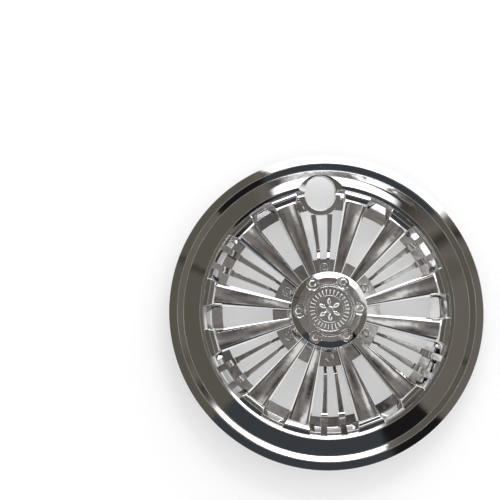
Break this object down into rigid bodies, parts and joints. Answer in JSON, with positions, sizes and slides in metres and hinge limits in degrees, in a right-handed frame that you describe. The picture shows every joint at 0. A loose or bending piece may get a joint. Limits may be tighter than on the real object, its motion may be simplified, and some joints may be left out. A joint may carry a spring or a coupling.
{
  "type": "golf cart wheel cover",
  "caption": "Round wheel cover with a stepped outer ring, broad tapered spokes, thin ribs, a raised hub cap and a valve hole, lying face up.",
  "frame": {"origin": "on the wheel's axis, in the plane of the snap fingers' tips, on which the cover lies", "axes": "+Z along the wheel's axis, out of the face; +Y towards the valve hole"},
  "size_m": [0.24, 0.24, 0.0412],
  "materials": {
    "plated_plastic": "bright chrome plate on moulded plastic",
    "plated_medallion": "bright chrome plate with a raised pattern",
    "spring_wire": "drawn spring steel, zinc plated"
  },
  "bodies": {
    "root": {"cover_body": "plated_plastic", "centre_medallion": "plated_medallion", "retention_ring": "spring_wire"}
  },
  "joints": []
}
